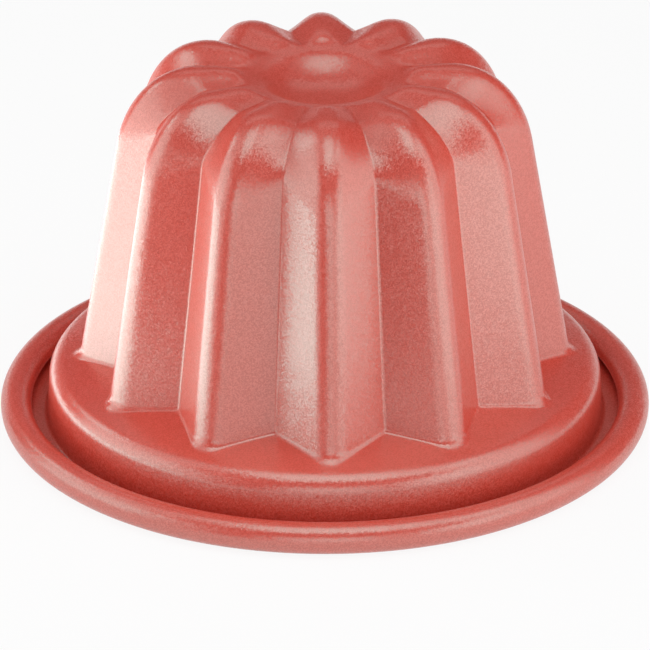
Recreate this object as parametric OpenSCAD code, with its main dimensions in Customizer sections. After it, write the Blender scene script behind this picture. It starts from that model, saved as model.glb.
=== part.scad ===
// Fluted canele mould, pressed from one disc of coated steel sheet.
// It stands mouth down: z = 0 is the underside of the rolled rim, the Z axis is the mould's own axis,
// and one lobe looks along -Y.
// From the mouth inwards: a rolled rim, a short round skirt wall, a sloping ledge, and the fluted cup,
// whose lobes lean in, roll over at the crown and run down into a shallow round dish.

/* [Sheet] */
// Thickness of the coated sheet
sheet_t = 0.6; // [0.4:0.05:0.8]

/* [Flutes] */
// Number of lobes round the cup
lobes = 12; // [10:1:14]
// Diameter over the lobes where they meet the ledge
foot_d = 60.3; // [56:0.1:66]
// Depth of the flutes where they meet the ledge
flute_depth = 4.6; // [3.6:0.1:5.6]
// Radius of a lobe's nose at the foot
nose_r = 2.9; // [2:0.1:3.6]
// Radius of a lobe's nose where it has rolled over onto the crown
crown_nose_r = 4.3; // [3:0.1:5]
// Lean of the lobes from the vertical, in degrees
lobe_lean = 9.9; // [7:0.1:11]
// Lean of the valleys between the lobes, in degrees
valley_lean = 8.1; // [6:0.1:9.5]
// Radius of the hollow corner where the tip of a lobe's nose meets the ledge
tip_fillet = 1.9; // [1:0.1:2.2]
// Radius of the hollow corner where the flanks and valleys meet the ledge
flank_fillet = 0.7; // [0.5:0.1:1.6]

/* [Crown] */
// Overall height of the mould, from the rim's underside to the tops of the lobes
mould_h = 46.2; // [44:0.1:56]
// Height at which the lobes start to roll over
lobe_roll_z = 36.5; // [32:0.1:39]
// Height at which the valleys start to roll over
valley_roll_z = 39.8; // [35:0.1:41]
// Diameter of the ring on which the tops of the lobes lie
lobe_ring_d = 30.9; // [28:0.1:34]
// Diameter of the ring on which the tops of the valleys lie
valley_ring_d = 28.9; // [26:0.1:32]
// Drop from the tops of the lobes to the tops of the valleys
crown_drop = 1.3; // [0.8:0.1:2]
// Diameter of the flat floor of the dish in the crown
dish_floor_d = 12.8; // [9:0.1:16]
// Depth of the dish below the tops of the lobes
dish_depth = 4.3; // [3:0.1:5]

/* [Ledge and skirt] */
// Width from the lobes' foot out to the skirt wall, seen from above
ledge_w = 4.2; // [3.8:0.05:6]
// Fall of the ledge towards the skirt, in degrees
ledge_fall = 12.8; // [9:0.1:18]
// Height of the corner that ledge and skirt wall would make without their bend
skirt_h = 7.45; // [6.8:0.05:9]
// Radius of the bend between ledge and skirt wall, outside
shoulder_r = 2; // [1.4:0.1:2.4]
// Lean of the skirt wall from the vertical, inwards from its foot, in degrees
skirt_lean = 4; // [1:0.5:6]

/* [Rolled rim] */
// Clear gap between the foot of the skirt wall and the roll
rim_gap = 1.33; // [1.1:0.01:2.4]
// Diameter of the roll, outside
roll_d = 3.8; // [3.2:0.1:4.6]
// Radius of the bend from the skirt wall out to the flat land under the roll, in the groove
land_bend_r = 0.6; // [0.4:0.1:0.8]

/* [Hidden] */
$fn = 144;

// Half of the angle that one lobe takes up
half_lobe = 180 / lobes;
// Radii of the lobes and of the valleys where they meet the ledge
lobe_foot_r = foot_d / 2;
valley_foot_r = lobe_foot_r - flute_depth;
// Skirt wall, roll and rim, from the inside out
wall_r = lobe_foot_r + ledge_w;
skirt_foot_r = wall_r + skirt_h * tan(skirt_lean);
roll_r = roll_d / 2;
tube_r = skirt_foot_r + rim_gap + roll_r;
// Heights of the crown
valley_top_z = mould_h - crown_drop;
dish_z = mould_h - dish_depth;
// The skirt profile runs this far inside the valleys, where the flutes cut it off
ledge_in_r = valley_foot_r - 4 * sheet_t;

// Pull of the crown curves towards the tangents at their two ends, each a share of the curve's own
// height or width
lobe_pull = [0.58, 0.505];
valley_pull = [0.525, 0.1];
dish_pull = [0.9, 0.5];
// Where the hollow corner at the foot stops short of lying flat on the ledge, in degrees
foot_cut = 18;
// Power of the section's share by which the corner widens towards the nose's tip
tip_narrow = 6;
// Steps of the flutes' grid: along the foot corner, the wall, the roll-over and the dish
foot_steps = 3;
wall_steps = 1;
roll_steps = 7;
dish_steps = 6;
// Places of the grid's columns from a lobe's middle to the valley, as shares of the half lobe
lobe_shares = [0, 0.085, 0.17, 0.25, 0.42, 0.7];

// Height of the ledge's upper surface at radius r
function ledge_z(r) = skirt_h + (wall_r - r) * tan(ledge_fall);

// Point at distance r from [0, 0] at angle a
function polar(r, a) = [r * cos(a), r * sin(a)];

// Cubic curve through four control points at u = 0..1, and its direction there
function curve(p, u) =
    pow(1 - u, 3) * p[0] + 3 * pow(1 - u, 2) * u * p[1] + 3 * (1 - u) * u * u * p[2] + pow(u, 3) * p[3];
function curve_way(p, u) =
    pow(1 - u, 2) * (p[1] - p[0]) + 2 * (1 - u) * u * (p[2] - p[1]) + u * u * (p[3] - p[2]);

// Point of a curve, moved square to it by depth d into the sheet
function sunk(p, u, d) = let (w = curve_way(p, u) / norm(curve_way(p, u))) curve(p, u) - d * [w.y, -w.x];

// Where a wall that leans by lean from a foot of radius r has come to at height z
function leaning_r(r, lean, z) = r - (z - ledge_z(r)) * tan(lean);

// Control points of the roll-over, from the top of the wall to the top of the crown
function roll_over(r, lean, z, top, pull) =
    let (start = [leaning_r(r, lean, z), z], rise = (top.y - z) * pull[0], reach = (start.x - top.x) * pull[1])
    [start, start + rise * [-tan(lean), 1], [top.x + reach, top.y], top];

// Control points of the dish's side, from the top of the crown to the dish's floor
function dish_side(top) =
    let (width = top.x - dish_floor_d / 2)
    [top, [top.x - width * dish_pull[0], top.y], [dish_floor_d / 2 + width * dish_pull[1], dish_z],
     [dish_floor_d / 2, dish_z]];

// Profile in [radius, height] from the foot corner to the dish's floor, at depth d into the sheet.
// The first point lies past the corner, tail below the sheet's surface at that depth.
function profile(r, lean, z, top, pull, fillet, d, tail) =
    let (
        ledge_way = -ledge_fall,
        wall_way = 90 + lean,
        opening = wall_way - ledge_way,
        middle = [r, ledge_z(r)] + polar(fillet / sin(opening / 2), (wall_way + ledge_way) / 2),
        a0 = ledge_way - 90 - foot_cut,
        a1 = wall_way + 90 - 360,
        turn_r = fillet + d,
        first = middle + polar(turn_r, a0),
        run = (tail + turn_r * (1 - cos(foot_cut))) / sin(foot_cut),
        roll = roll_over(r, lean, z, top, pull),
        side = dish_side(top),
        wall_foot = middle + polar(turn_r, a1),
        wall_head = sunk(roll, 0, d)
    )
    concat(
        [first + polar(run, ledge_way - foot_cut)],
        [for (i = [0:foot_steps - 1]) middle + polar(turn_r, a0 + (a1 - a0) * i / foot_steps)],
        [for (i = [0:wall_steps - 1]) wall_foot + (wall_head - wall_foot) * i / wall_steps],
        [for (i = [0:roll_steps - 1]) sunk(roll, i / roll_steps, d)],
        [for (i = [0:dish_steps]) sunk(side, i / dish_steps, d)]
    );

// Lobe section: round nose of radius nose on straight flanks that run to a sharp valley.
// The flank's direction at the valley, in degrees from the lobe's own middle line:
function flank_way(rv, rl, nose) =
    let (v = polar(rv, half_lobe), c = rl - nose)
    atan2(-v.y, c - v.x) + asin(nose / norm([v.x - c, v.y]));

// Radius of the section at angle a from the lobe's middle
function section_r(a, rv, rl, nose) =
    let (
        v = polar(rv, half_lobe),
        c = rl - nose,
        way = flank_way(rv, rl, nose),
        u = polar(1, way),
        touch = [c, 0] + polar(nose, way + 90)
    )
    a <= atan2(touch.y, touch.x)
        ? c * cos(a) + sqrt(nose * nose - pow(c * sin(a), 2))
        : (v.x * u.y - v.y * u.x) / (cos(a) * u.y - sin(a) * u.x);

// The same as a share, from 0 in the valley to 1 on the nose
function lobe_share(a, rv, rl, nose) = (section_r(a, rv, rl, nose) - rv) / (rl - rv);

// Angles of all columns from the middle of their lobe, once round
function column_angles() =
    let (n = len(lobe_shares), side = [for (s = lobe_shares) s * half_lobe])
    [for (k = [0:lobes - 1]) each concat(
        [for (i = [0:n - 1]) [k * 2 * half_lobe + side[i], side[i]]],
        [[(2 * k + 1) * half_lobe, half_lobe]],
        [for (i = [n - 1:-1:1]) [(k + 1) * 2 * half_lobe - side[i], side[i]]]
    )];

// Solid bounded by the fluted surface at depth d into the sheet, closed below by a cone or a flat face
module fluted_solid(d, tail, base_z, cap_z) {
    flank = half_lobe - flank_way(valley_foot_r, lobe_foot_r, nose_r);
    dv = d / sin(flank);
    lobe_top = [lobe_ring_d / 2, mould_h];
    lobe_line = profile(lobe_foot_r, lobe_lean, lobe_roll_z, lobe_top, lobe_pull, flank_fillet, d, tail);
    tip_line = profile(lobe_foot_r, lobe_lean, lobe_roll_z, lobe_top, lobe_pull, tip_fillet, d, tail);
    valley_line = profile(valley_foot_r, valley_lean, valley_roll_z, [valley_ring_d / 2, valley_top_z],
        valley_pull, flank_fillet, dv, tail);
    columns = column_angles();
    rows = len(lobe_line);
    n = len(columns);
    rv = valley_foot_r - dv;
    rl = lobe_foot_r - d;
    wall_end = 1 + foot_steps + wall_steps;
    foot_shape = [for (c = columns) lobe_share(c[1], rv, rl, nose_r - d)];
    crown_shape = [for (c = columns) lobe_share(c[1], rv, rl, crown_nose_r - d)];
    grid = [for (i = [0:rows - 1], j = [0:n - 1])
        let (
            m = max(0, min(1, (i - wall_end) / roll_steps)),
            share = foot_shape[j] * (1 - m) + crown_shape[j] * m,
            tip = (tip_line[i] - lobe_line[i]) * pow(share, tip_narrow),
            p = valley_line[i] + (lobe_line[i] - valley_line[i]) * share + tip
        )
        concat(polar(p.x, columns[j][0] - 90), [p.y])];
    base = is_undef(base_z) ? [] : [for (j = [0:n - 1]) [grid[j].x, grid[j].y, base_z]];
    low = len(base);
    levels = rows + (low > 0 ? 1 : 0);
    points = concat(base, grid, [[0, 0, cap_z], [0, 0, lobe_line[rows - 1].y]]);
    polyhedron(points, concat(
        [for (i = [0:levels - 2], j = [0:n - 1]) let (k = (j + 1) % n)
            each [[i * n + j, (i + 1) * n + k, i * n + k], [i * n + j, (i + 1) * n + j, (i + 1) * n + k]]],
        [for (j = [0:n - 1]) let (k = (j + 1) % n) [levels * n, j, k]],
        [for (j = [0:n - 1]) let (k = (j + 1) % n, t = (levels - 1) * n) [levels * n + 1, t + k, t + j]]
    ), convexity = 12);
}

// Round bend of the sheet, outer radius r, about c, between two directions
module bend(c, r, a0, a1) {
    reach = 2 * r;
    translate(c) intersection() {
        difference() {
            circle(r);
            circle(r - sheet_t);
        }
        polygon([[0, 0], polar(reach, a0), polar(reach, (a0 + a1) / 2), polar(reach, a1)]);
    }
}

// Point inside the sheet of a bend with outer radius r about c. A straight run's end tapers to it, so that the run
// and the bend overlap.
function key(c, r, a) = c + polar(r - sheet_t / 2, a);

// Skirt and ledge: the land, the bend up into the wall, the leaning wall, the shoulder and the sloping ledge
module skirt_profile() {
    turn_r = land_bend_r + sheet_t;
    shoulder_way = 90 - ledge_fall;
    low = [skirt_foot_r + land_bend_r * tan(45 - skirt_lean / 2) - sheet_t * tan(skirt_lean), turn_r];
    high = [wall_r, skirt_h]
        - polar(shoulder_r / cos((shoulder_way - skirt_lean) / 2), (shoulder_way + skirt_lean) / 2);
    ledge_drop = sheet_t / cos(ledge_fall);
    ledge_side = polar(1, shoulder_way);
    wall_side = polar(1, skirt_lean);
    polygon([
        [low.x, 0],
        [tube_r, 0],
        key([tube_r, roll_r], roll_r, -82),
        [tube_r, sheet_t],
        [low.x, sheet_t],
        key(low, turn_r, 262)
    ]);
    bend(low, turn_r, 180 + skirt_lean, 270);
    polygon([
        low - turn_r * wall_side,
        key(low, turn_r, 188 + skirt_lean),
        low - land_bend_r * wall_side,
        high + shoulder_r * wall_side,
        key(high, shoulder_r, skirt_lean + 5),
        high + (shoulder_r - sheet_t) * wall_side
    ]);
    bend(high, shoulder_r, skirt_lean, shoulder_way);
    polygon([
        high + (shoulder_r - sheet_t) * ledge_side,
        key(high, shoulder_r, shoulder_way - 5),
        high + shoulder_r * ledge_side,
        [ledge_in_r, ledge_z(ledge_in_r)],
        [ledge_in_r, ledge_z(ledge_in_r) - ledge_drop]
    ]);
}

// Rolled rim: an open round tube from the land up round the outside, over the top and down to the cut edge
module roll_profile() {
    translate([tube_r, roll_r]) difference() {
        circle(roll_r);
        circle(roll_r - sheet_t);
        translate([-roll_d, -roll_d]) square(roll_d);
    }
}

module mould() {
    inner_base_z = ledge_z(wall_r) - 2 * sheet_t;
    color("#d0584e") difference() {
        union() {
            rotate_extrude() {
                skirt_profile();
                roll_profile();
            }
            fluted_solid(0, sheet_t / 2, undef, ledge_z(0) - sheet_t / 2 / cos(ledge_fall));
        }
        fluted_solid(sheet_t, sheet_t / 2, inner_base_z, inner_base_z);
    }
}

mould();
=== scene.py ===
# Looks of a fluted canele mould, pressed from one disc of coated steel sheet.
# It stands mouth down on a white floor, under soft studio light.
import math

import bpy
import numpy as np
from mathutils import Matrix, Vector


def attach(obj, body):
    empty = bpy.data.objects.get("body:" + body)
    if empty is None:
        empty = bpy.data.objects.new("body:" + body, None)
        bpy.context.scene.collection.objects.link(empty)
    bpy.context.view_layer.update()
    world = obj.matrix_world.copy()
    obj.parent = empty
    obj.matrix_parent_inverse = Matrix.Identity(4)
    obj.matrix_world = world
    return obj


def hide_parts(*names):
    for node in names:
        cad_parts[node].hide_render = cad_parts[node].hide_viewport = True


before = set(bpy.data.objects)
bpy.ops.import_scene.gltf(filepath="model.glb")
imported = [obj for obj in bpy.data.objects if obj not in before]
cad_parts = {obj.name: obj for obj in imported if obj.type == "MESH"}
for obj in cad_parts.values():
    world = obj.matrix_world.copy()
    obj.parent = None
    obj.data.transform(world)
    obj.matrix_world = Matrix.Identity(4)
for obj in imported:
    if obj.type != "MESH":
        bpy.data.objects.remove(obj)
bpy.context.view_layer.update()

MM = 0.001

# The pressed sheet, in millimetres and degrees. The sizes are those of the solid that this mesh
# stands for, but the skirt wall and the dish follow the photograph more closely than it does.
SHEET = 0.6
LOBES = 12
HALF_LOBE = math.pi / LOBES
FOOT_R = 60.3 / 2
FLUTE_DEPTH = 4.6
NOSE_R = 2.9
CROWN_NOSE_R = 4.3
LOBE_LEAN = math.radians(9.9)
VALLEY_LEAN = math.radians(8.1)
TIP_FILLET = 1.9
FLANK_FILLET = 0.7
TIP_NARROW = 6
VALLEY_ROUND = 0.4

MOULD_H = 46.2
LOBE_ROLL_Z = 36.5
VALLEY_ROLL_Z = 39.8
LOBE_RING_R = 30.9 / 2
VALLEY_RING_R = 28.9 / 2
CROWN_DROP = 1.3
LIP_R = 8.5
LIP_FALL = math.radians(10)
DISH_FLOOR_R = 1.0
DISH_DEPTH = 4.0

LEDGE_W = 3.75
LEDGE_FALL = math.radians(12.8)
SKIRT_H = 7.25
SHOULDER_R = 2.4
SKIRT_LEAN = math.radians(3)

RIM_GAP = 1.92
ROLL_D = 3.8
LAND_BEND_R = 0.6
CUT_ROUND = 0.16

VALLEY_FOOT_R = FOOT_R - FLUTE_DEPTH
WALL_R = FOOT_R + LEDGE_W
ROLL_R = ROLL_D / 2
SKIRT_FOOT_R = WALL_R + SKIRT_H * math.tan(SKIRT_LEAN)
TUBE_R = SKIRT_FOOT_R + RIM_GAP + ROLL_R
LIP_Z = MOULD_H - CROWN_DROP
DISH_Z = MOULD_H - DISH_DEPTH

# Pull of the crown's curves towards the tangents at their two ends, as shares of the way
LOBE_PULL = (0.58, 0.505)
VALLEY_PULL = (0.525, 0.1)
LIP_PULL = (0.93, 0.4)
DISH_PULL = (0.25, 0.6)

# Share of the lobes' inner ends over which their section softens from nose and flanks to a cosine
SOFTEN_SHARE = 0.6

# Rows along one face of the fluted cup: the hollow corner at its foot, the wall, the roll over
# the crown, the lobes' inner ends, the slope of the dish, and the dish's flat floor
FOOT_ROWS, WALL_ROWS, ROLL_ROWS, END_ROWS, DISH_ROWS, FLOOR_ROWS = 8, 6, 30, 17, 14, 3

# Rows further out: the ledge, the shoulder's bend, the bend into the land, the roll, and each
# corner of the cut edge
LEDGE_ROWS, SHOULDER_ROWS, BEND_ROWS, TUBE_ROWS, CUT_ROWS = 6, 10, 8, 36, 3

# Columns from a lobe's middle to the valley beside it: on the nose, on the flank and in the
# valley, and the shares of half a lobe at which the first two end
NOSE_COLUMNS, FLANK_COLUMNS, VALLEY_COLUMNS = 6, 5, 3
NOSE_END, FLANK_END = 0.29, 0.955


def ledge_z(r):
    """Height of the ledge's upper face at radius r: a cone that falls towards the skirt wall."""
    return SKIRT_H + (WALL_R - r) * math.tan(LEDGE_FALL)


def polar(r, a):
    """Point at distance r from zero at angle a, as [radius, height]."""
    return np.stack([r * np.cos(a), r * np.sin(a)], -1)


def steps(a, b, n):
    """n even steps from a to b, with both ends."""
    return np.linspace(a, b, n + 1)


def cubic(p, u):
    """Cubic curve through the control points p at the shares u.

    It comes with the unit vectors square to it on its right, which point out of the cup.
    """
    p = np.asarray(p, float)
    u = u[:, None]
    point = ((1 - u) ** 3 * p[0] + 3 * (1 - u) ** 2 * u * p[1]
             + 3 * (1 - u) * u * u * p[2] + u ** 3 * p[3])
    way = (1 - u) ** 2 * (p[1] - p[0]) + 2 * (1 - u) * u * (p[2] - p[1]) + u * u * (p[3] - p[2])
    way /= np.linalg.norm(way, axis=1, keepdims=True)
    return point, np.stack([way[:, 1], -way[:, 0]], -1)


def inward_curve(top, low, pull, fall, rows, depth):
    """Cubic curve inwards from top to low, moved square to itself by the depth.

    It falls by the angles fall at its two ends, and its tangents there reach over the shares
    pull of its width.
    """
    first, last = np.multiply(pull, top[0] - low[0])
    line, side = cubic([top, (top[0] - first, top[1] - first * math.tan(fall[0])),
                        (low[0] + last, low[1] + last * math.tan(fall[1])), low],
                       steps(0, 1, rows))
    return line - depth * side


def cup_line(r, lean, z, top, pull, fillet, depth):
    """Profile of the fluted cup at depth below its outer face, as rows of [radius, height].

    It is a hollow corner of radius fillet, a straight wall that leans by lean from radius r at
    the ledge, and three cubic curves: from height z over to the crown's top, in to the dish's
    soft lip, and down to the dish's flat floor. Each point is moved square to the outer face by
    the depth.
    """
    wall_way = math.pi / 2 + lean
    opening = wall_way + LEDGE_FALL
    middle = (np.array([r, ledge_z(r)])
              + polar(fillet / math.sin(opening / 2), (wall_way - LEDGE_FALL) / 2))
    turn = steps(-LEDGE_FALL - math.pi / 2, wall_way - 1.5 * math.pi, FOOT_ROWS)
    corner = middle + polar(fillet + depth, turn)
    start = np.array([r - (z - ledge_z(r)) * math.tan(lean), z])
    rise, reach = (top[1] - z) * pull[0], (start[0] - top[0]) * pull[1]
    over, side = cubic([start, start + rise * np.array([-math.tan(lean), 1]),
                        [top[0] + reach, top[1]], top], steps(0, 1, ROLL_ROWS))
    over = over - depth * side
    lip, low = (LIP_R, LIP_Z), (DISH_FLOOR_R, DISH_Z)
    ends = inward_curve(top, lip, LIP_PULL, (0, LIP_FALL), END_ROWS, depth)
    down = inward_curve(lip, low, DISH_PULL, (LIP_FALL, 0), DISH_ROWS, depth)
    wall = corner[-1] + (over[0] - corner[-1]) * steps(0, 1, WALL_ROWS)[:, None]
    flat = down[-1] * np.stack([steps(1, 0, FLOOR_ROWS), np.ones(FLOOR_ROWS + 1)], -1)
    return np.concatenate([corner[:-1], wall[:-1], over[:-1], ends[:-1], down[:-1], flat[:-1]])


def flank_angle(nose):
    """Angle between a flank and the valley's own radius, at the foot, on the outer face."""
    foot = (VALLEY_FOOT_R * math.cos(HALF_LOBE), VALLEY_FOOT_R * math.sin(HALF_LOBE))
    centre = FOOT_R - nose
    reach = math.hypot(foot[0] - centre, foot[1])
    return HALF_LOBE - math.atan2(-foot[1], centre - foot[0]) - math.asin(nose / reach)


def lobe_shares(a, depth, nose):
    """Share from valley to nose, 0 to 1, that the lobe's section has reached at angle a.

    The angle is taken from the lobe's middle. The section is a round nose of radius nose on two
    straight flanks, which meet the next lobe's in a small round. A face at some depth in the
    sheet has the section moved square to itself by that depth, so its flanks keep their angle.
    """
    flank = flank_angle(nose)
    way = HALF_LOBE - flank
    rl, rv = FOOT_R - depth, VALLEY_FOOT_R - depth / math.sin(flank)
    nose, valley = nose - depth, VALLEY_ROUND + depth
    centre = rl - nose
    touch = math.atan2(nose * math.cos(way), centre - nose * math.sin(way))
    on_nose = centre * np.cos(a) + np.sqrt(np.maximum(nose ** 2 - (centre * np.sin(a)) ** 2, 0))
    on_flank = rv * math.sin(-flank) / np.sin(way - a)
    mid = rv + valley / math.sin(flank)
    b = HALF_LOBE - a
    in_valley = mid * np.cos(b) - np.sqrt(np.maximum(valley ** 2 - (mid * np.sin(b)) ** 2, 0))
    leave = math.atan2(valley * math.cos(flank), mid - valley * math.sin(flank))
    r = np.where(a <= touch, on_nose, np.where(b <= leave, in_valley, on_flank))
    return (r - rv) / (rl - rv)


def columns():
    """Angles of the grid's columns once round, and each one's angle from its own lobe's middle.

    They lie closer on the noses and in the valleys, where the section turns fastest.
    """
    half = HALF_LOBE * np.concatenate([steps(0, NOSE_END, NOSE_COLUMNS)[:-1],
                                       steps(NOSE_END, FLANK_END, FLANK_COLUMNS)[:-1],
                                       steps(FLANK_END, 1, VALLEY_COLUMNS)])
    lobe = np.concatenate([-half[:0:-1], half[:-1]])
    turn = np.concatenate([k * 2 * HALF_LOBE + lobe for k in range(LOBES)])
    return turn - math.pi / 2, np.tile(np.abs(lobe), LOBES)


def cup_face(depth):
    """Grid of the fluted cup at one depth in the sheet, from the foot corner to the dish.

    Each row of [x, y, z] runs between the profile through a valley and the profile through a
    nose, by the section's share there. Over the crown the section's nose widens, and over the
    lobes' inner ends the section softens to a cosine. The hollow corner at the foot widens only
    at the noses' tips, by a high power of the share.
    """
    turn, off = columns()
    side = depth / math.sin(flank_angle(NOSE_R))
    lobe, tip = [cup_line(FOOT_R, LOBE_LEAN, LOBE_ROLL_Z, (LOBE_RING_R, MOULD_H),
                          LOBE_PULL, fillet, depth)
                 for fillet in (FLANK_FILLET, TIP_FILLET)]
    valley = cup_line(VALLEY_FOOT_R, VALLEY_LEAN, VALLEY_ROLL_Z, (VALLEY_RING_R, LIP_Z),
                      VALLEY_PULL, FLANK_FILLET, side)
    row = np.arange(len(lobe))[:, None] - FOOT_ROWS - WALL_ROWS
    widen = np.clip(row / ROLL_ROWS, 0, 1)
    soften = np.clip((row - ROLL_ROWS) / (SOFTEN_SHARE * END_ROWS), 0, 1)
    share = (lobe_shares(off, depth, NOSE_R) * (1 - widen)
             + lobe_shares(off, depth, CROWN_NOSE_R) * widen)
    wave = 0.5 + 0.5 * np.cos(math.pi * off / HALF_LOBE)
    share = (share * (1 - soften) + wave * soften)[..., None]
    line = (valley[:, None] + (lobe - valley)[:, None] * share
            + (tip - lobe)[:, None] * share ** TIP_NARROW)
    return np.stack([line[..., 0] * np.cos(turn), line[..., 0] * np.sin(turn), line[..., 1]], -1)


def round_rows(line):
    """Grid of a surface of revolution from a profile of [radius, height]."""
    turn, _ = columns()
    return np.stack([line[:, :1] * np.cos(turn), line[:, :1] * np.sin(turn),
                     line[:, 1:] * np.ones_like(turn)], -1)


def skirt_line(face):
    """Profile of the skirt and the roll on one face of the sheet, 0 the upper face, 1 the lower.

    It runs from the ledge over the shoulder's bend, down the skirt wall, round the bend into the
    flat land, and up, over and down the roll to the cut edge. All bends are arcs, and the two
    faces are one sheet thickness apart.
    """
    into = SHEET * face
    slope, wall = math.pi / 2 - LEDGE_FALL, SKIRT_LEAN
    shoulder = (np.array([WALL_R, SKIRT_H])
                - polar(SHOULDER_R / math.cos((slope - wall) / 2), (slope + wall) / 2))
    bend = np.array([SKIRT_FOOT_R + LAND_BEND_R * math.tan(math.pi / 4 - wall / 2)
                     - SHEET * math.tan(wall), LAND_BEND_R + SHEET])
    tube, middle = ROLL_R - SHEET * (1 - face), np.array([TUBE_R, ROLL_R])
    return np.concatenate([
        shoulder + polar(SHOULDER_R - into, steps(slope, wall, SHOULDER_ROWS)),
        bend + polar(LAND_BEND_R + into, steps(math.pi + wall, 1.5 * math.pi, BEND_ROWS)),
        middle + polar(tube, steps(-math.pi / 2, math.pi, TUBE_ROWS)),
    ])


def cut_edge():
    """Profile of the roll's cut edge, from the tube's inner face to its outer one.

    It is flat, at half the roll's height, with a small round at each corner.
    """
    inner, outer = TUBE_R - ROLL_R + SHEET, TUBE_R - ROLL_R
    return np.concatenate([
        np.array([inner - CUT_ROUND, ROLL_R])
        + polar(CUT_ROUND, steps(0, -math.pi / 2, CUT_ROWS)),
        np.array([outer + CUT_ROUND, ROLL_R])
        + polar(CUT_ROUND, steps(-math.pi / 2, -math.pi, CUT_ROWS)),
    ])


def ledge_rows(foot, rim):
    """Rows of the ledge between the flutes' foot outline and where the shoulder's bend starts.

    Both lie on the same cone, so a straight blend of the two stays on it.
    """
    share = steps(0, 1, LEDGE_ROWS)[1:-1, None, None]
    return foot[None] * (1 - share) + rim[None] * share


def closed_sheet():
    """Grid of the whole sheet: out over its upper face to the cut edge, and back underneath."""
    upper, lower = cup_face(0.0)[::-1], cup_face(SHEET)
    above, below = round_rows(skirt_line(0)), round_rows(skirt_line(1))[::-1]
    return np.concatenate([
        upper, ledge_rows(upper[-1], above[0]), above, round_rows(cut_edge()),
        below, ledge_rows(below[-1], lower[0]), lower,
    ])


def sheet_mesh(name):
    """Mesh object of the sheet: quads of the grid, and a fan at the middle of each face."""
    grid = closed_sheet() * MM
    rows, n = grid.shape[:2]
    tips = np.array([[0, 0, DISH_Z], [0, 0, DISH_Z - SHEET]]) * MM
    points = np.concatenate([grid.reshape(-1, 3), tips])
    i, j = np.meshgrid(np.arange(rows - 1), np.arange(n), indexing="ij")
    k = (j + 1) % n
    quads = np.stack([i * n + j, (i + 1) * n + j, (i + 1) * n + k, i * n + k], -1).reshape(-1, 4)
    j, k, last = np.arange(n), (np.arange(n) + 1) % n, (rows - 1) * n
    fans = np.concatenate([np.stack([0 * j + rows * n, j, k], -1),
                           np.stack([0 * j + rows * n + 1, last + k, last + j], -1)])
    mesh = bpy.data.meshes.new(name)
    mesh.from_pydata(points.tolist(), [], quads.tolist() + fans.tolist())
    mesh.shade_smooth()
    mesh.validate()
    piece = bpy.data.objects.new(name, mesh)
    bpy.context.scene.collection.objects.link(piece)
    return piece


# Materials

# Flakes in the coating: how many lie along a metre, how far they tilt, and the darkest and the
# lightest of their reds, each after its place on the flakes' random scale of 0 to 1
FLAKES_PER_M = 7000.0
FLAKE_TILT = 0.13
FLAKE_DARK = (0.25, (0.65, 0.045, 0.022, 1))
FLAKE_LIGHT = (0.75, (0.77, 0.103, 0.076, 1))

# Clear film over them: a strong sheen, tinted against the red, which gives pale pink highlights
FILM_IOR = 2.29
FILM_TINT = (0.394, 1.0, 0.915, 1)
FILM_ROUGHNESS = 0.28

# Part of the floor's white that doesn't depend on the lamps. The rest shows the shadow.
FLOOR_GLOW = 0.9
FLOOR_WHITE = (0.9, 0.9, 0.9, 1)
FLOOR_ROUGHNESS = 0.7

CARD_GREY = (0.03, 0.03, 0.03, 1)
CARD_ROUGHNESS = 0.9


def material(name):
    """New material, its node tree and its shader."""
    made = bpy.data.materials.new(name)
    made.use_nodes = True
    tree = made.node_tree
    return made, tree, tree.nodes["Principled BSDF"]


def add(tree, kind, operation=None, **inputs):
    """New node of a kind, with its inputs set or linked by name, or by number as _0, _1, _2."""
    node = tree.nodes.new(kind)
    if operation:
        node.operation = operation
    for key, value in inputs.items():
        socket = node.inputs[int(key[1:])] if key[0] == "_" else node.inputs[key]
        if isinstance(value, bpy.types.NodeSocket):
            tree.links.new(value, socket)
        else:
            socket.default_value = value
    return node


def pearl_coating():
    """Baked pearl coating: coral red under a clear film, with flakes that each catch the light.

    Each flake has its own tone between a dark and a light red, and its own small tilt, which is
    added to the surface's direction.
    """
    made, tree, shader = material("pearl_coral_coating")
    place = add(tree, "ShaderNodeTexCoord").outputs["Object"]
    flakes = add(tree, "ShaderNodeTexVoronoi", Vector=place, Scale=FLAKES_PER_M).outputs["Color"]
    tilt = add(tree, "ShaderNodeVectorMath", "SUBTRACT", _0=flakes, _1=(0.5, 0.5, 0.5))
    lean = add(tree, "ShaderNodeVectorMath", "SCALE", _0=tilt.outputs[0], Scale=FLAKE_TILT)
    turned = add(tree, "ShaderNodeVectorMath", "ADD", _0=lean.outputs[0],
                 _1=add(tree, "ShaderNodeNewGeometry").outputs["Normal"])
    unit = add(tree, "ShaderNodeVectorMath", "NORMALIZE", _0=turned.outputs[0])
    tree.links.new(unit.outputs[0], shader.inputs["Normal"])
    tone = add(tree, "ShaderNodeValToRGB", Fac=flakes)
    for stop, (position, red) in zip(tone.color_ramp.elements, (FLAKE_DARK, FLAKE_LIGHT)):
        stop.position, stop.color = position, red
    tree.links.new(tone.outputs["Color"], shader.inputs["Base Color"])
    shader.inputs["IOR"].default_value = FILM_IOR
    shader.inputs["Specular Tint"].default_value = FILM_TINT
    shader.inputs["Roughness"].default_value = FILM_ROUGHNESS
    return made


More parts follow.
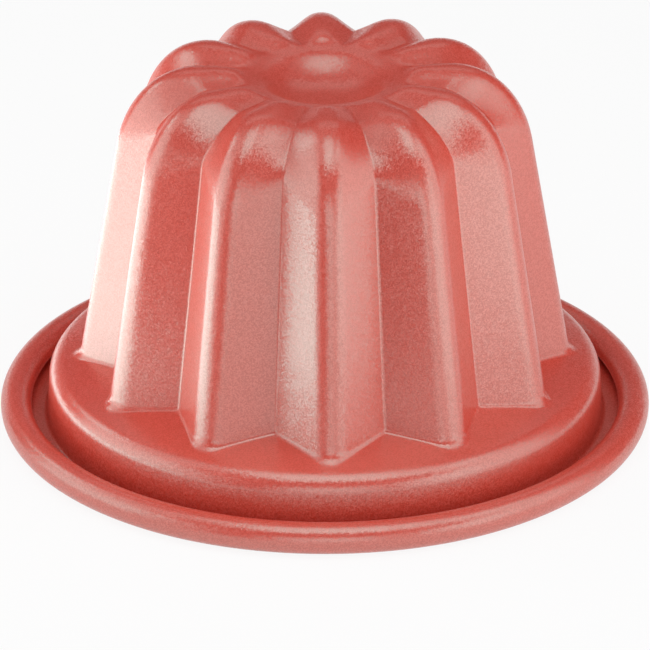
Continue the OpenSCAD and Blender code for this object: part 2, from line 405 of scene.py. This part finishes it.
def floor_white():
    """White floor: the camera and the sheen see a plain white with a small part of its lit face.

    That part, a tenth, carries the mould's shadow.
    """
    made, tree, shader = material("floor_white")
    shader.inputs["Base Color"].default_value = FLOOR_WHITE
    shader.inputs["Roughness"].default_value = FLOOR_ROUGHNESS
    ray = add(tree, "ShaderNodeLightPath").outputs
    seen = add(tree, "ShaderNodeMath", "MAXIMUM", _0=ray["Is Camera Ray"], _1=ray["Is Glossy Ray"])
    seen = add(tree, "ShaderNodeMath", "MAXIMUM", _0=seen.outputs[0],
               _1=ray["Is Transmission Ray"])
    part = add(tree, "ShaderNodeMath", "MULTIPLY", _0=seen.outputs[0], _1=FLOOR_GLOW)
    glow = add(tree, "ShaderNodeEmission", Color=(1, 1, 1, 1), Strength=1.0)
    both = add(tree, "ShaderNodeMixShader", _0=part.outputs[0], _1=shader.outputs[0],
               _2=glow.outputs[0])
    tree.links.new(both.outputs[0], tree.nodes["Material Output"].inputs["Surface"])
    return made


def card_grey():
    """Plain dark grey of the card beside the mould."""
    made, _, shader = material("card_grey")
    shader.inputs["Base Color"].default_value = CARD_GREY
    shader.inputs["Roughness"].default_value = CARD_ROUGHNESS
    return made


# Stage: floor, light and camera, in metres and watts

# Flat cards, each as two corners and a height
FLOOR_CARD = ((-3, -3), (3, 3), 0)
GREY_CARD = ((-0.30, -0.42), (-0.02, -0.08), 0.001)

# Strength of the even room, and the points that the lamps are turned to: the mould's body, or
# one at the height of the lamps that stand level
ROOM_STRENGTH = 0.1
BODY, LEVEL = (0, 0, 0.03), (0, 0, 0.075)

# Soft lamps: name, place, aim, width and height, and power
LAMPS = [
    ("left_tall", (-0.315, 0.0, 0.135), BODY, (0.30, 0.265), 0.35),
    ("left_low", (-0.30, -0.01, 0.075), LEVEL, (0.30, 0.15), 0.05),
    ("left_high", (-0.22, 0.0, 0.314), BODY, (0.26, 0.12), 0.076),
    ("left_front", (-0.25, -0.18, 0.10), BODY, (0.14, 0.20), 0.08),
    ("left_floor", (-0.145, 0.02, 0.003), (-0.145, 0.02, 0.1), (0.20, 0.155), 0.30),
    ("left_back", (-0.242, 0.151, 0.205), BODY, (0.09, 0.09), 0.06),
    ("right_tall", (0.30, -0.08, 0.135), BODY, (0.26, 0.265), 0.279),
    ("right_high", (0.21, -0.06, 0.314), BODY, (0.24, 0.12), 0.154),
    ("right_front", (0.22, -0.24, 0.09), BODY, (0.16, 0.18), 0.147),
    ("right_front_floor", (0.14, -0.11, 0.003), (0.14, -0.11, 0.1), (0.16, 0.16), 0.09),
    ("front", (0.0, -0.34, 0.08), LEVEL, (0.22, 0.16), 0.16),
    ("top_front", (0.0, -0.20, 0.46), BODY, (0.34, 0.20), 0.46),
    ("top", (0.0, -0.07, 0.50), BODY, (0.34, 0.08), 0.149),
    ("top_mid", (0.0, 0.025, 0.50), BODY, (0.34, 0.10), 0.215),
    ("top_back", (0.0, 0.24, 0.31), BODY, (0.34, 0.12), 0.066),
    ("back_low", (0.0, 0.36, 0.05), BODY, (0.6, 0.095), 0.09),
]

# Camera: it looks down on the mould from the front, from a little to its left, through a long
# lens. The picture's side, the lens and the rim's middle are in pixels.
CAM_ELEVATION = math.radians(25.98)
CAM_AZIMUTH = math.radians(-1.37)
CAM_DISTANCE = 0.8
CAM_NEAR, CAM_FAR = 0.05, 20
PICTURE = 650
FOCAL_PX = 6472.0
RIM_MID_X = 324.84
RIM_MID_Y = 396.9
SENSOR_MM = 36.0


def stage_card(name, low, high, z, surface):
    """Flat card of the stage, level at height z between the corners low and high."""
    mesh = bpy.data.meshes.new(name)
    mesh.from_pydata([(low[0], low[1], z), (high[0], low[1], z), (high[0], high[1], z),
                      (low[0], high[1], z)], [], [(0, 1, 2, 3)])
    made = bpy.data.objects.new(name, mesh)
    made.data.materials.append(surface)
    bpy.context.scene.collection.objects.link(made)
    return made


def floor():
    """Wide white floor that the mould stands on, and a grey card on it that only the sheen sees."""
    stage_card("floor", *FLOOR_CARD, floor_white())
    card = stage_card("grey_card", *GREY_CARD, card_grey())
    card.visible_camera = False


def softbox(name, place, aim, size, power):
    """Rectangular soft lamp at a place, turned to the aim. The camera doesn't see it."""
    lamp = bpy.data.lights.new(name, "AREA")
    lamp.shape = "RECTANGLE"
    lamp.size, lamp.size_y = size
    lamp.energy = power
    made = bpy.data.objects.new(name, lamp)
    made.location = place
    way = Vector(aim) - Vector(place)
    made.rotation_euler = way.to_track_quat("-Z", "Y").to_euler()
    made.visible_camera = False
    bpy.context.scene.collection.objects.link(made)


def studio():
    """A dim, even room and soft lamps on both sides, in front, overhead and low at the back.

    Two of them lie on the floor beside the mould and light its flanks from below.
    """
    world = bpy.data.worlds.new("studio")
    bpy.context.scene.world = world
    world.use_nodes = True
    room = world.node_tree.nodes["Background"]
    room.inputs["Color"].default_value = (1, 1, 1, 1)
    room.inputs["Strength"].default_value = ROOM_STRENGTH
    for lamp in LAMPS:
        softbox(*lamp)


def camera():
    """Camera at the photograph's angle, turned so that the rim's middle falls on its pixel."""
    data = bpy.data.cameras.new("camera")
    data.sensor_width = SENSOR_MM
    data.lens = SENSOR_MM * FOCAL_PX / PICTURE
    data.clip_start, data.clip_end = CAM_NEAR, CAM_FAR
    made = bpy.data.objects.new("camera", data)
    back = Vector((math.sin(CAM_AZIMUTH) * math.cos(CAM_ELEVATION),
                   -math.cos(CAM_AZIMUTH) * math.cos(CAM_ELEVATION),
                   math.sin(CAM_ELEVATION)))
    made.location = Vector((0, 0, ROLL_R * MM)) + back * CAM_DISTANCE
    up = math.atan((RIM_MID_Y - PICTURE / 2) / FOCAL_PX)
    right = math.atan((PICTURE / 2 - RIM_MID_X) / FOCAL_PX)
    made.rotation_euler = (math.pi / 2 - CAM_ELEVATION + up, 0, CAM_AZIMUTH - right)
    bpy.context.scene.collection.objects.link(made)
    bpy.context.scene.camera = made


camera()
floor()
studio()
bpy.context.scene.view_settings.view_transform = "Standard"

mould = sheet_mesh("coated_mould")
mould.data.materials.append(pearl_coating())
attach(mould, "root")
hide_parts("mould")
